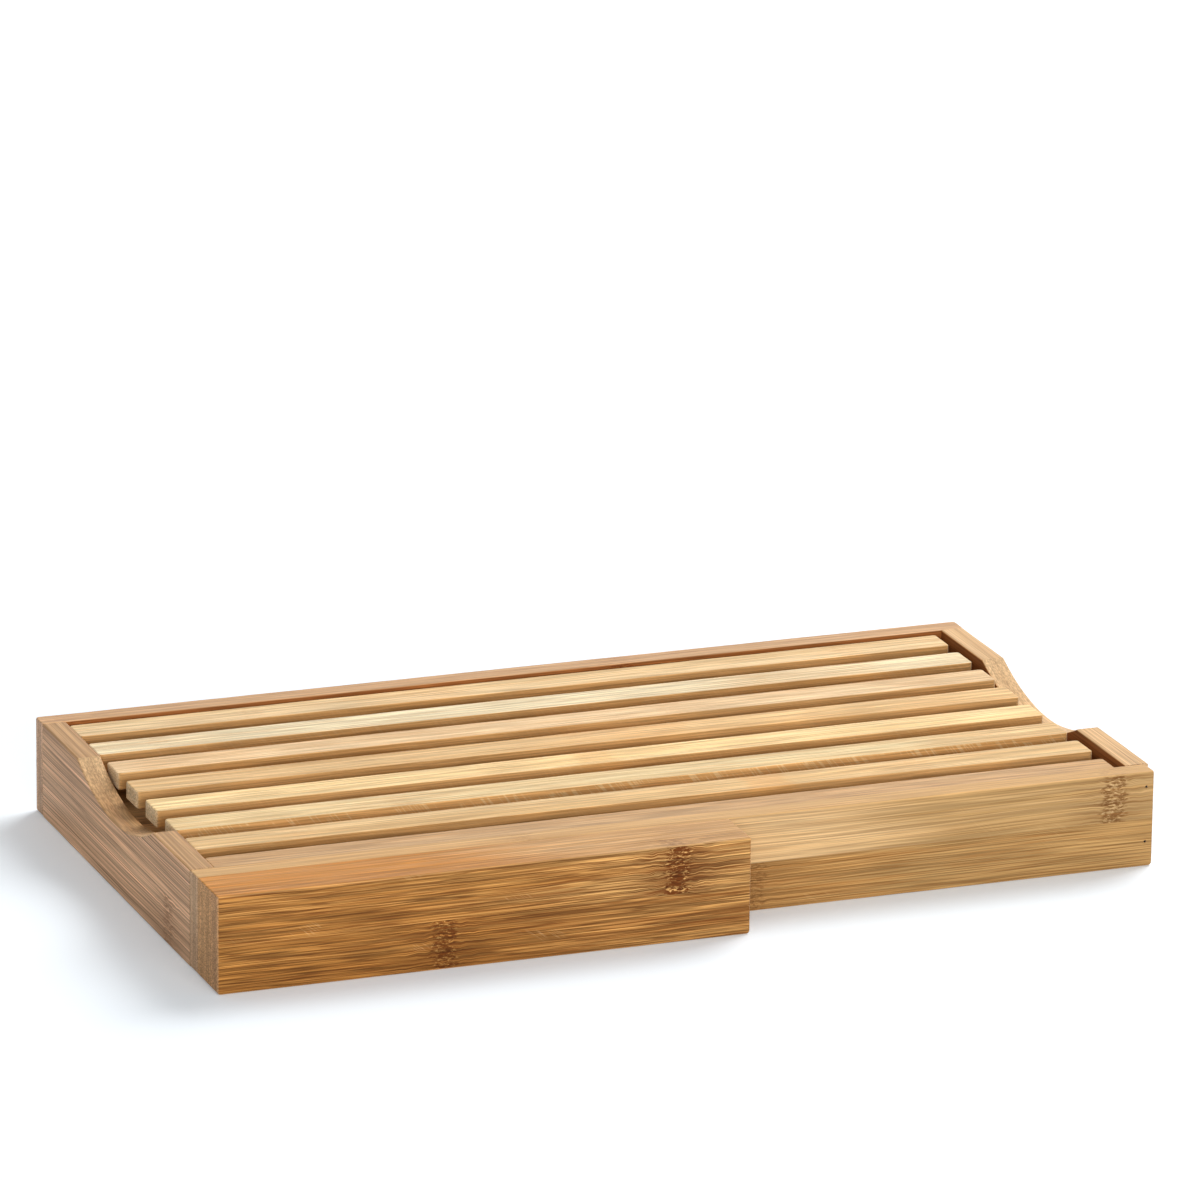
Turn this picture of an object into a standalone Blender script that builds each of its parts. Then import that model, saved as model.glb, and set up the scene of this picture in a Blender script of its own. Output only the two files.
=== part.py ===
"""Bamboo bread board: a low frame with a crumb floor, a lift-out slat grid and a knife block.

X runs along the length, Y from the front to the back, Z up. The origin is at the middle of the
underside, and every length is in metres.
"""

import math

import bmesh
import bpy
from mathutils import Vector

# Frame
frame_length = 0.420
frame_depth = 0.2175
frame_height = 0.0414
board_thickness = 0.0105
edge_round = 0.0012
rail_end_setback = 0.0018

# Finger scoops in the side boards
scoop_chord = 0.101
scoop_depth = 0.012
right_scoop_shift = 0.003

# Crumb floor and the grooves that hold it
floor_thickness = 0.004
floor_lift = 0.005
groove_depth = 0.004

# Slat grid
slat_count = 8
slat_width = 0.0157
slat_thickness = 0.0074
slat_recess = 0.0016
slat_front_play = 0.0005
slat_back_play = 0.0008
slat_left_play = 0.0008
slat_right_play = 0.0029
slat_corner_round = 0.0014
slat_edge_round = 0.0006

# Cross battens under the slats
batten_width = 0.010
batten_inset = 0.045
batten_setback = 0.003
batten_edge_round = 0.0005

# Knife block in front of the frame
block_length = 0.228
block_depth = 0.025
block_cover_thickness = 0.0084
slot_width = 0.005
slot_height = 0.032
slot_length = 0.210

# Nails and brads
nail_radius = 0.00045
nail_length = 0.025
nail_point = 0.0012
nail_sink = 0.0005
nail_base_distance = 0.0108
nail_top_distance = 0.0066
nail_clearance = 0.00015
brad_bite = 0.0045

# Fits and cuts
touch_gap = 0.0003
cut_overrun = 0.002

# Mesh fineness
round_segments = 2
corner_segments = 3
scoop_segments = 28
nail_sides = 10
smooth_angle = math.radians(30)

# Where the boards lie
half_length = frame_length / 2
total_depth = block_depth + touch_gap + frame_depth
block_front = -total_depth / 2
block_back = block_front + block_depth
rail_front = block_back + touch_gap
rail_inner = rail_front + board_thickness
back_outer = total_depth / 2
back_inner = back_outer - board_thickness
side_inner = half_length - board_thickness
inside_middle = (rail_inner + back_inner) / 2

# Where the floor, the slats and the battens lie
floor_top = floor_lift + floor_thickness
slat_top = frame_height - slat_recess
slat_bottom = slat_top - slat_thickness
slat_left = slat_left_play - side_inner
slat_right = side_inner - slat_right_play
slat_middle = (slat_left + slat_right) / 2
grid_front = rail_inner + slat_front_play
grid_back = back_inner - slat_back_play
slat_pitch = (grid_back - grid_front - slat_width) / (slat_count - 1)
batten_bottom = floor_top + touch_gap
batten_top = slat_bottom - touch_gap

# Pale and darker bamboo, and the steel of the nails, as linear colours
slat_tones = [
    (0.62, 0.41, 0.20),
    (0.66, 0.46, 0.24),
    (0.58, 0.37, 0.17),
    (0.68, 0.48, 0.26),
    (0.64, 0.43, 0.21),
    (0.60, 0.40, 0.20),
    (0.67, 0.47, 0.24),
    (0.63, 0.42, 0.22),
]
front_tone = (0.52, 0.30, 0.12)
cover_tone = (0.48, 0.26, 0.10)
side_tone = (0.42, 0.26, 0.13)
back_tone = (0.45, 0.27, 0.12)
batten_tone = (0.50, 0.31, 0.14)
floor_tone = (0.47, 0.29, 0.13)
steel_tone = (0.45, 0.45, 0.46)
wood_roughness = 0.55
steel_roughness = 0.35


def clear_scene():
    """Remove whatever objects the open file holds."""
    for item in list(bpy.data.objects):
        bpy.data.objects.remove(item, do_unlink=True)


def principled(name, colour, roughness, metallic):
    """A plain surface with the piece's colour."""
    material = bpy.data.materials.new(name)
    material.use_nodes = True
    shader = material.node_tree.nodes["Principled BSDF"]
    shader.inputs["Base Color"].default_value = (*colour, 1.0)
    shader.inputs["Roughness"].default_value = roughness
    shader.inputs["Metallic"].default_value = metallic
    return material


def wood(name, colour):
    """Bamboo with a satin surface."""
    return principled(name, colour, wood_roughness, 0.0)


def add_object(name, bm, centre, material=None, parent=None):
    """Put a finished mesh into the scene, with its origin at the piece's centre."""
    mesh = bpy.data.meshes.new(name)
    bmesh.ops.recalc_face_normals(bm, faces=bm.faces)
    bm.to_mesh(mesh)
    bm.free()
    mesh.shade_smooth()
    mesh.set_sharp_from_angle(angle=smooth_angle)
    item = bpy.data.objects.new(name, mesh)
    item.location = centre
    if material:
        mesh.materials.append(material)
    if parent:
        item.parent = parent
        item.location = Vector(centre) - parent.location
    bpy.context.collection.objects.link(item)
    return item


def add_cutter(name, bm, centre):
    """A guide shape that is only cut away from other pieces."""
    cutter = add_object(name, bm, centre)
    cutter.hide_render = True
    cutter.display_type = "WIRE"
    return cutter


def cut(item, cutter):
    """Cut one guide shape out of a piece."""
    modifier = item.modifiers.new("cut_" + cutter.name, "BOOLEAN")
    modifier.operation = "DIFFERENCE"
    modifier.solver = "EXACT"
    modifier.object = cutter


def box_between(low, high):
    """A box's mesh about its own centre, and where that centre lies."""
    low = Vector(low)
    high = Vector(high)
    size = high - low
    bm = bmesh.new()
    bmesh.ops.create_cube(bm, size=1.0)
    bmesh.ops.scale(bm, vec=size, verts=bm.verts)
    return bm, (low + high) / 2


def round_edges(bm, edges, radius, segments):
    """Round the chosen edges."""
    bmesh.ops.bevel(
        bm,
        geom=list(edges),
        offset=radius,
        offset_type="OFFSET",
        segments=segments,
        profile=0.5,
        affect="EDGES",
        clamp_overlap=True,
    )


def faces_outward(face, direction):
    """True where a face looks along the given direction."""
    return face.normal.dot(Vector(direction)) > 0.99


def open_edges(bm, hidden):
    """The edges that touch no hidden face. Hidden faces look along the given directions."""
    bm.normal_update()
    chosen = []
    for edge in bm.edges:
        touched = [face for face in edge.link_faces for way in hidden if faces_outward(face, way)]
        if not touched:
            chosen.append(edge)
    return chosen


def board(name, low, high, tone, hidden=()):
    """A straight board whose free arrises are eased, and whose glued faces keep sharp edges."""
    bm, centre = box_between(low, high)
    round_edges(bm, open_edges(bm, hidden), edge_round, round_segments)
    return add_object(name, bm, centre, wood(name, tone))


def scoop_outline(scoop_middle):
    """The side board's outline, along Y and Z: a straight board with a round bite in its top."""
    half_chord = scoop_chord / 2
    radius = (half_chord ** 2 + scoop_depth ** 2) / (2 * scoop_depth)
    half_angle = math.asin(half_chord / radius)
    arc_centre = frame_height - scoop_depth + radius
    front = rail_inner + touch_gap
    back = back_inner - touch_gap
    outline = [(front, 0.0), (back, 0.0), (back, frame_height)]
    for step in range(scoop_segments + 1):
        angle = half_angle - 2 * half_angle * step / scoop_segments
        y = scoop_middle + radius * math.sin(angle)
        z = arc_centre - radius * math.cos(angle)
        outline.append((y, z))
    outline.append((front, frame_height))
    return outline


def side_board(name, x_low, x_high, scoop_middle):
    """A side board with its finger scoop, eased along every arris but its butted ends."""
    centre = Vector(((x_low + x_high) / 2, inside_middle, frame_height / 2))
    bm = bmesh.new()
    outline = scoop_outline(scoop_middle)
    corners = [bm.verts.new((x_low - centre.x, y - centre.y, z - centre.z)) for y, z in outline]
    face = bm.faces.new(corners)
    swept = bmesh.ops.extrude_face_region(bm, geom=[face])
    moved = [item for item in swept["geom"] if isinstance(item, bmesh.types.BMVert)]
    bmesh.ops.translate(bm, vec=(x_high - x_low, 0.0, 0.0), verts=moved)
    bmesh.ops.recalc_face_normals(bm, faces=bm.faces)
    chosen = []
    for edge in open_edges(bm, [(0.0, -1.0, 0.0), (0.0, 1.0, 0.0)]):
        span = edge.verts[1].co - edge.verts[0].co
        if abs(span.x) < touch_gap:
            chosen.append(edge)
    round_edges(bm, chosen, edge_round, round_segments)
    return add_object(name, bm, centre, wood(name, side_tone))


def build_frame():
    """The four boards, which the floor grooves and the nail holes are cut into."""
    front_rail = board(
        "front_rail",
        (-half_length, rail_front, 0.0),
        (half_length - rail_end_setback, rail_inner, frame_height),
        front_tone,
    )
    back_rail = board(
        "back_rail",
        (-half_length, back_inner, 0.0),
        (half_length, back_outer, frame_height),
        back_tone,
    )
    left = side_board("left_side_board", -half_length, -side_inner, inside_middle)
    right_middle = inside_middle + right_scoop_shift
    right = side_board("right_side_board", side_inner, half_length, right_middle)
    return [front_rail, back_rail, left, right]


def build_floor(boards):
    """The crumb floor, let into a groove that runs round all four boards."""
    half_floor = side_inner + groove_depth
    front = rail_inner - groove_depth
    back = back_inner + groove_depth
    bm, centre = box_between((-half_floor, front, floor_lift), (half_floor, back, floor_top))
    add_object("crumb_floor", bm, centre, wood("crumb_floor", floor_tone))
    gap = Vector((touch_gap, touch_gap, touch_gap))
    low = Vector((-half_floor, front, floor_lift)) - gap
    high = Vector((half_floor, back, floor_top)) + gap
    bm, centre = box_between(low, high)
    groove = add_cutter("floor_groove", bm, centre)
    for item in boards:
        cut(item, groove)


def build_block():
    """The knife block: a core with the blade slot cut into its front, closed by a cover."""
    left = -half_length
    right = left + block_length
    seam = block_front + block_cover_thickness
    core_front = seam + touch_gap
    board(
        "knife_block_cover",
        (left, block_front, 0.0),
        (right, seam, frame_height),
        cover_tone,
        hidden=[(0.0, 1.0, 0.0)],
    )
    core = board(
        "knife_block_core",
        (left, core_front, 0.0),
        (right, block_back, frame_height),
        front_tone,
        hidden=[(0.0, 1.0, 0.0), (0.0, -1.0, 0.0)],
    )
    slot_low = (frame_height - slot_height) / 2
    bm, centre = box_between(
        (right - slot_length, core_front - cut_overrun, slot_low),
        (right + cut_overrun, core_front + slot_width, slot_low + slot_height),
    )
    cut(core, add_cutter("blade_slot", bm, centre))


def pin_mesh(bm, start, direction, length, point, radius):
    """A round pin from start along direction, with a cone for its point."""
    direction = Vector(direction)
    turn = Vector((0.0, 0.0, 1.0)).rotation_difference(direction)
    rings = [(0.0, radius), (length - point, radius)]
    loops = []
    for height, size in rings:
        loop = []
        for side in range(nail_sides):
            angle = 2 * math.pi * side / nail_sides
            spot = Vector((size * math.cos(angle), size * math.sin(angle), height))
            loop.append(bm.verts.new(Vector(start) + turn @ spot))
        loops.append(loop)
    tip = bm.verts.new(Vector(start) + direction * length)
    bm.faces.new(reversed(loops[0]))
    for side in range(nail_sides):
        after = (side + 1) % nail_sides
        bm.faces.new((loops[0][side], loops[0][after], loops[1][after], loops[1][side]))
        bm.faces.new((loops[1][side], loops[1][after], tip))


def nail(name, place, direction, length, parent=None):
    """One headless steel pin."""
    bm = bmesh.new()
    pin_mesh(bm, (0.0, 0.0, 0.0), direction, length, nail_point, nail_radius)
    add_object(name, bm, place, principled(name, steel_tone, steel_roughness, 1.0), parent)


def add_nail_hole(bm, place, direction, length):
    """One pin hole in a shared cutter, open at its mouth and a little longer than the pin."""
    direction = Vector(direction)
    mouth = Vector(place) - direction * (nail_sink + cut_overrun)
    depth = length + nail_sink + cut_overrun + touch_gap
    pin_mesh(bm, mouth, direction, depth, nail_point, nail_radius + nail_clearance)


def build_nails(boards):
    """Two nails through each end of both rails, into the side boards' end grain."""
    holes = bmesh.new()
    side_middle = (half_length + side_inner) / 2
    faces = {
        "front": (rail_front + nail_sink, (0.0, 1.0, 0.0)),
        "back": (back_outer - nail_sink, (0.0, -1.0, 0.0)),
    }
    levels = {
        "lower": nail_base_distance,
        "upper": frame_height - nail_top_distance,
    }
    for face, (y, direction) in faces.items():
        for side, x in (("left", -side_middle), ("right", side_middle)):
            for level, z in levels.items():
                nail(f"nail_{face}_{side}_{level}", (x, y, z), direction, nail_length)
                add_nail_hole(holes, (x, y, z), direction, nail_length)
    cutter = add_cutter("nail_holes", holes, (0.0, 0.0, 0.0))
    for item in boards:
        cut(item, cutter)


def slat_line(index):
    """The middle of one slat along Y, counted from the front."""
    return grid_front + slat_width / 2 + index * slat_pitch


def build_slats(parent):
    """The slats, round at their ends and eased all round."""
    slats = []
    for index in range(slat_count):
        y = slat_line(index)
        low = (slat_left, y - slat_width / 2, slat_bottom)
        high = (slat_right, y + slat_width / 2, slat_top)
        bm, centre = box_between(low, high)
        upright = [edge for edge in bm.edges if abs((edge.verts[1].co - edge.verts[0].co).z) > touch_gap]
        round_edges(bm, upright, slat_corner_round, corner_segments)
        flat = [edge for edge in bm.edges if abs((edge.verts[1].co - edge.verts[0].co).z) < touch_gap]
        round_edges(bm, flat, slat_edge_round, 1)
        name = f"slat_{index + 1}"
        slats.append(add_object(name, bm, centre, wood(name, slat_tones[index % len(slat_tones)]), parent))
    return slats


def batten_lines():
    """Each batten's name and its middle along X."""
    return {
        "left": slat_left + batten_inset,
        "middle": slat_middle,
        "right": slat_right - batten_inset,
    }


def build_battens(parent):
    """The battens that carry the slats and stand on the crumb floor."""
    battens = []
    for name, x in batten_lines().items():
        low = (x - batten_width / 2, grid_front + batten_setback, batten_bottom)
        high = (x + batten_width / 2, grid_back - batten_setback, batten_top)
        bm, centre = box_between(low, high)
        round_edges(bm, open_edges(bm, [(0.0, 0.0, 1.0)]), batten_edge_round, 1)
        battens.append(add_object(f"batten_{name}", bm, centre, wood(f"batten_{name}", batten_tone), parent))
    return battens


def build_brads(pieces, parent):
    """One brad up through each batten into each slat, sunk below the batten's foot."""
    holes = bmesh.new()
    up = (0.0, 0.0, 1.0)
    foot = batten_bottom + nail_sink
    length = slat_bottom + brad_bite - foot
    for name, x in batten_lines().items():
        for index in range(slat_count):
            place = (x, slat_line(index), foot)
            nail(f"brad_{name}_{index + 1}", place, up, length, parent)
            add_nail_hole(holes, place, up, length)
    cutter = add_cutter("brad_holes", holes, (0.0, 0.0, 0.0))
    for item in pieces:
        cut(item, cutter)


def build_grid():
    """The lift-out grid, whose pieces all hang on one empty that slides up."""
    carrier = bpy.data.objects.new("grid_lift", None)
    carrier.location = (slat_middle, inside_middle, batten_bottom)
    bpy.context.collection.objects.link(carrier)
    slats = build_slats(carrier)
    battens = build_battens(carrier)
    build_brads(slats + battens, carrier)


clear_scene()
frame_boards = build_frame()
build_floor(frame_boards)
build_nails(frame_boards)
build_block()
build_grid()
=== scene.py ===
"""The looks of a bamboo bread board: its boards in laminated bamboo, with finely eased edges.

All lengths are in metres, in the frame's own axes: X along the board, Y to the back, Z up.
"""
import math

import bmesh
import bpy
from mathutils import Matrix, Vector, noise


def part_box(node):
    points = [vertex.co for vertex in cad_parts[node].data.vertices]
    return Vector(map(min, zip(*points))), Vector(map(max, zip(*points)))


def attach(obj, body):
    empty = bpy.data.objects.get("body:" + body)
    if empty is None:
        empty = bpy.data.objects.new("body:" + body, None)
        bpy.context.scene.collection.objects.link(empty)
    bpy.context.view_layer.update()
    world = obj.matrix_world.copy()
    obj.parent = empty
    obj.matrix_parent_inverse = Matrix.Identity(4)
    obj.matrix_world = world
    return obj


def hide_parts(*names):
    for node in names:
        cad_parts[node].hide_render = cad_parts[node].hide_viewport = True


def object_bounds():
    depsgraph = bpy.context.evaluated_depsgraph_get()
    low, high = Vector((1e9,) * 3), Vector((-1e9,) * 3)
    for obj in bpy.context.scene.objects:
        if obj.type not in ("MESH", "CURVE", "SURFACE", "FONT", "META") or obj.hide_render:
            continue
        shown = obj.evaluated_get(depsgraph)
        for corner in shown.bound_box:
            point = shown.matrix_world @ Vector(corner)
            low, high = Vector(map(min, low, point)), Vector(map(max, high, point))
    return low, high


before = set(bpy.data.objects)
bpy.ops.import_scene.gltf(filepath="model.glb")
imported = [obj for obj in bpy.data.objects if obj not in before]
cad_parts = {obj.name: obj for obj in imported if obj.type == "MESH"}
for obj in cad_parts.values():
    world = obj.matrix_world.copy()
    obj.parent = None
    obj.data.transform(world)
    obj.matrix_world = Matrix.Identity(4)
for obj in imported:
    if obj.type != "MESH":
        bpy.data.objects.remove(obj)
cad_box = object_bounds()
X, Y, Z = range(3)

# Camera, as fitted to the photograph, with its angles in radians
photo_width = 1181
camera_yaw = 0.36594
camera_pitch = 0.30265
camera_roll = 0.01258
camera_focal_pixels = 8901.7
camera_distance = 3.5428
corner_pixel = (217.83, 995.70)
sensor_width = 36.0

# Light, surround and floor
white = (1.0, 1.0, 1.0, 1.0)
lamp_tint = (1.0, 0.98, 0.95)
panel_tint = (1.0, 0.99, 0.97)
surround_strength = 0.38
floor_tint = (0.785, 0.85, 0.915)
floor_lift = 0.17
floor_half = 6.0
floor_gap = 0.0001

# Edges of the wood
board_round = 0.0008
board_rounds = (board_round,) * 4
foot_and_top_rounds = (0.0014, 0.0006)
back_corner_round = 0.0018
slat_corner = 0.0020
slat_edge = 0.00035
slat_end = 0.0008
batten_edge = 0.0006

# Gaps between boards that meet, and how fine the boards' meshes are
seam = 0.00004
support = 0.0004
station_step = 0.007
place_digits = 7
arc_steps = 4
arc_angles = [math.pi / 2 * step / arc_steps for step in range(arc_steps + 1)]
sharp_angle = math.radians(24.5)

# How the long faces and the arrises wander: how far, how often in a metre, how much they differ from
# one another and from board to board, and how far from the ends it starts
wobble = 0.00012
wobble_rates = (28.0, 7.3, 3.1)
calm_end = 0.008
calm_fade = 0.014
arris_share = 0.35
arris_rates = (60.0, 5.1)

# What is cut out of the boards, with the same sizes as the frame
nail_hole_radius = 0.00062
hole_sides = 16
groove_gap = 0.0003
scoop_half_chord = 0.0505
scoop_search_share = 1.1
scoop_margin = 0.002
scoop_steps = 40
slot_length = 0.210
slot_height = 0.032
slot_depth = 0.005
overrun = 0.002

# Depths and widths of the strips that the bamboo is glued from
board_layer = 0.0055
cover_layer = 0.0085
slat_layer = 0.0074
floor_layer = 0.004
batten_layer = 0.005
batten_strip = 0.0114
wide_strip = 0.021

# Where the slats are cut from their strips, and which of them shows its saw marks
slat_shift = 0.003
first_slat_node = -0.2
slat_node_step = 0.05
sawn_slat = 3
slight_saw_marks = 0.12

# Surfaces
grain_height = 0.00012
grain_bump = 0.5
wood_roughness = 0.48
end_roughness = 0.18
wood_gloss = 0.08
steel_spot_rate = 1800.0
steel_tones = ((0.05, 0.042, 0.035, 1.0), (0.016, 0.013, 0.010, 1.0))

# How the inner faces differ from the rest: painted shade, a dark tint that their colour is multiplied by
inner_shade_tint = (0.56, 0.36, 0.20)

# Bamboo as linear colours, each pair pale and deep: lower or even strips, upper or odd strips, flanks.
SLAT = {
    "flank": ((0.60, 0.35, 0.14), (0.50, 0.27, 0.095)),
    "end": (0.66, 0.49, 0.30),
    "streak": (0.46, 0.24, 0.085),
    "node": (0.50, 0.25, 0.09),
    "stain": (0.62, 0.33, 0.11),
}
RAIL = {
    "even": ((0.43, 0.235, 0.080), (0.33, 0.155, 0.042)),
    "odd": ((0.635, 0.420, 0.210), (0.575, 0.36, 0.160)),
    "flank": ((0.60, 0.37, 0.16), (0.52, 0.28, 0.095)),
    "end": (0.55, 0.355, 0.22),
    "streak": (0.27, 0.115, 0.030),
    "node": (0.16, 0.062, 0.016),
    "stain": (0.40, 0.24, 0.092),
    "flank_stain": (0.56, 0.33, 0.13),
}
BLOCK = {
    "even": ((0.48, 0.255, 0.080), (0.31, 0.135, 0.034)),
    "odd": ((0.52, 0.285, 0.096), (0.345, 0.155, 0.042)),
    "flank": ((0.56, 0.335, 0.145), (0.48, 0.25, 0.080)),
    "end": (0.52, 0.295, 0.15),
    "streak": (0.14, 0.046, 0.009),
    "node": (0.105, 0.028, 0.004),
    "stain": (0.335, 0.142, 0.030),
    # On the top, the orange of the stretch at the left is partly real stain and partly painted warm shade
    "flank_stain": (0.47, 0.170, 0.006),
}
CORE = {
    "even": ((0.43, 0.26, 0.13), (0.37, 0.20, 0.090)),
    "flank": ((0.56, 0.335, 0.145), (0.49, 0.255, 0.083)),
    "end": (0.52, 0.30, 0.15),
    "streak": (0.34, 0.16, 0.050),
    "node": (0.36, 0.16, 0.05),
    "stain": (0.50, 0.225, 0.041),
    # On the top, the orange of the stretch at the left is partly real stain and partly painted warm shade
    "flank_stain": (0.46, 0.165, 0.004),
}
SIDE = {
    "even": ((0.72, 0.432, 0.248), (0.615, 0.347, 0.186)),
    "odd": ((0.73, 0.442, 0.258), (0.625, 0.357, 0.191)),
    "flank": ((0.49, 0.29, 0.130), (0.395, 0.215, 0.090)),
    "end": (0.60, 0.41, 0.23),
    "streak": (0.30, 0.165, 0.085),
    "node": (0.30, 0.14, 0.06),
}
BACK = {
    "even": ((0.49, 0.28, 0.135), (0.42, 0.22, 0.095)),
    "odd": ((0.50, 0.29, 0.145), (0.44, 0.235, 0.10)),
    "flank": ((0.53, 0.325, 0.17), (0.46, 0.26, 0.12)),
    "end": (0.59, 0.39, 0.265),
    "streak": (0.32, 0.15, 0.06),
    "node": (0.32, 0.13, 0.05),
}
FLOOR = {
    "even": ((0.50, 0.29, 0.125), (0.42, 0.23, 0.086)),
    "odd": ((0.51, 0.30, 0.13), (0.43, 0.235, 0.092)),
    "flank": ((0.48, 0.28, 0.12), (0.42, 0.23, 0.086)),
    "end": (0.40, 0.23, 0.10),
    "streak": (0.30, 0.15, 0.05),
    "node": (0.30, 0.13, 0.05),
}

# The right side board is paler on top, and its inner face is seen. The tones across its layers are dark:
# painted shade on that inner face.
right_shaded_face = ((0.42, 0.23, 0.11), (0.32, 0.165, 0.07))
RIGHT = {**SIDE, "even": right_shaded_face, "odd": right_shaded_face, "flank": ((0.62, 0.40, 0.20), (0.52, 0.31, 0.135))}

# From the front on, each slat's pale and deep tone, its stained stretch's place, reach and strength, and
# how light its sides are
SLATS = (
    ((0.48, 0.30, 0.147), (0.42, 0.24, 0.103), (0.20, 0.03, 0.2), 1.0),
    ((0.67, 0.475, 0.24), (0.605, 0.395, 0.168), (0.052, 0.013, 0.6), 0.92),
    ((0.705, 0.565, 0.315), (0.65, 0.475, 0.235), (0.19, 0.060, 0.35), 1.2),
    ((0.82, 0.61, 0.31), (0.75, 0.52, 0.225), (-0.004, 0.012, 0.4), 0.95),
    ((0.71, 0.48, 0.23), (0.62, 0.38, 0.15), (0.03, 0.020, 0.3), 1.0),
    ((0.72, 0.52, 0.30), (0.65, 0.44, 0.23), (-0.16, 0.030, 0.2), 1.0),
    ((0.75, 0.66, 0.44), (0.71, 0.58, 0.36), (0.12, 0.050, 0.3), 0.95),
    ((0.71, 0.53, 0.30), (0.66, 0.46, 0.23), (-0.05, 0.030, 0.2), 1.0),
)

# The patterns in the wood. Those named strip start anew in each strip, those named grain are drawn out
# with the board's own grain as well, and those named board run on over all its strips. Then come how
# often each changes in a metre, along the grain and across it, and its detail.
PATTERNS = {
    "bands": ("grain", 5.0, 190.0, 2.0),
    "strands": ("grain", 9.0, 900.0, 2.0),
    "fibres": ("grain", 14.0, 2300.0, 2.0),
    "lines": ("grain", 28.0, 1650.0, 1.0),
    "strokes": ("grain", 10.0, 760.0, 1.0),
    "breaks": ("grain", 26.0, 260.0, 1.0),
    "dashes": ("grain", 22.0, 1450.0, 1.0),
    "threads": ("grain", 7.0, 560.0, 1.0),
    "sway": ("strip", 9.0, 22.0, 1.0),
    "ragged": ("strip", 60.0, 800.0, 2.0),
    "bend": ("strip", 190.0, 300.0, 1.0),
    "fading": ("strip", 22.0, 160.0, 1.0),
    "knots": ("strip", 420.0, 1250.0, 3.0),
    "ends": ("strip", 60.0, 1700.0, 2.0),
    "scuffed": ("board", 28.0, 70.0, 1.0),
    "cloud": ("board", 6.0, 45.0, 2.0),
}

# How much slower the end grain's dots change across the strips than through them, and how often its
# dark and pale layers change in a metre, across and through
end_dots_run = 0.12
end_layer_rates = (25.0, 450.0)

# Saw marks and scuffs: how often they come in a metre, how often they break off, and their slant
saw_rate = 380.0
saw_break_rate = 40.0
saw_slant = 0.8
saw_patch_rates = (40.0, 200.0)
scuff_rate = 520.0
scuff_break_rate = 60.0
scuff_slant = 1.3

# How far the fibres wander, how far the nodes stray and fray, how strong a node's tail is beside its
# halo, and how far apart the strips' patterns lie
fibre_sway = 0.0022
fibre_bend = 0.0022
node_jitter = 0.006
node_fray = 0.011
tail_share = 0.3
strip_shift = 37.0

# The ground's middle tone, where 0 is pale and 1 is deep, and how much brighter some places are; the arrises'
# gain is a painted highlight
tone_middle = 0.42
arris_highlight_gain = 0.12
saw_gain = 0.08
end_layer_gain = 0.13

# Distances from a mark's middle at which it starts to show, and at which it is full
NEAR = {
    "core": (0.0062, 0.0036),
    "halo": (0.028, 0.001),
    "tail": (0.050, 0.004),
    "glue": (0.00020, 0.00003),
}


# Node helpers


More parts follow.
